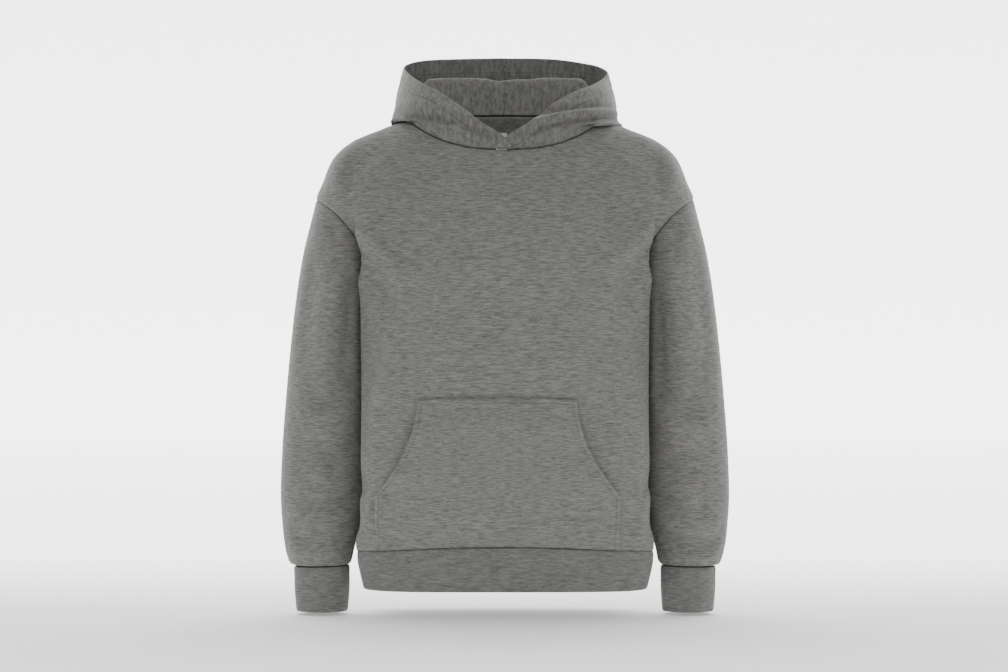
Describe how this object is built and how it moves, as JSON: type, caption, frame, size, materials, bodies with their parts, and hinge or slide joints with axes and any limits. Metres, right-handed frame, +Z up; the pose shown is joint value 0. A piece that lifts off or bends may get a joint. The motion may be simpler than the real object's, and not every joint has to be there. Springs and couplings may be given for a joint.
{
  "type": "pullover hoodie",
  "caption": "Hollow pullover hoodie filled out as worn, with dropped shoulders, a two-panel hood lying back, a kangaroo pocket and banded hem and cuffs.",
  "frame": {"origin": "middle of the neck opening, level with the tops of the shoulders, where the wearer carries the garment", "axes": "+Z up along the body, -Y the way the front faces, +X towards the wearer's left"},
  "size_m": [0.6426, 0.2882, 0.8003],
  "materials": {
    "jersey_body": "matte",
    "jersey_sleeve": "matte",
    "jersey_band": "matte",
    "jersey_hood": "matte",
    "label_white": "matte"
  },
  "bodies": {
    "root": {"body_front": "jersey_body", "body_back": "jersey_body", "sleeve_right": "jersey_sleeve", "sleeve_left": "jersey_sleeve", "cuff_right": "jersey_band", "cuff_left": "jersey_band", "hem_band": "jersey_band", "kangaroo_pocket": "jersey_body", "hood_right": "jersey_hood", "hood_left": "jersey_hood", "neck_label": "label_white"}
  },
  "joints": []
}
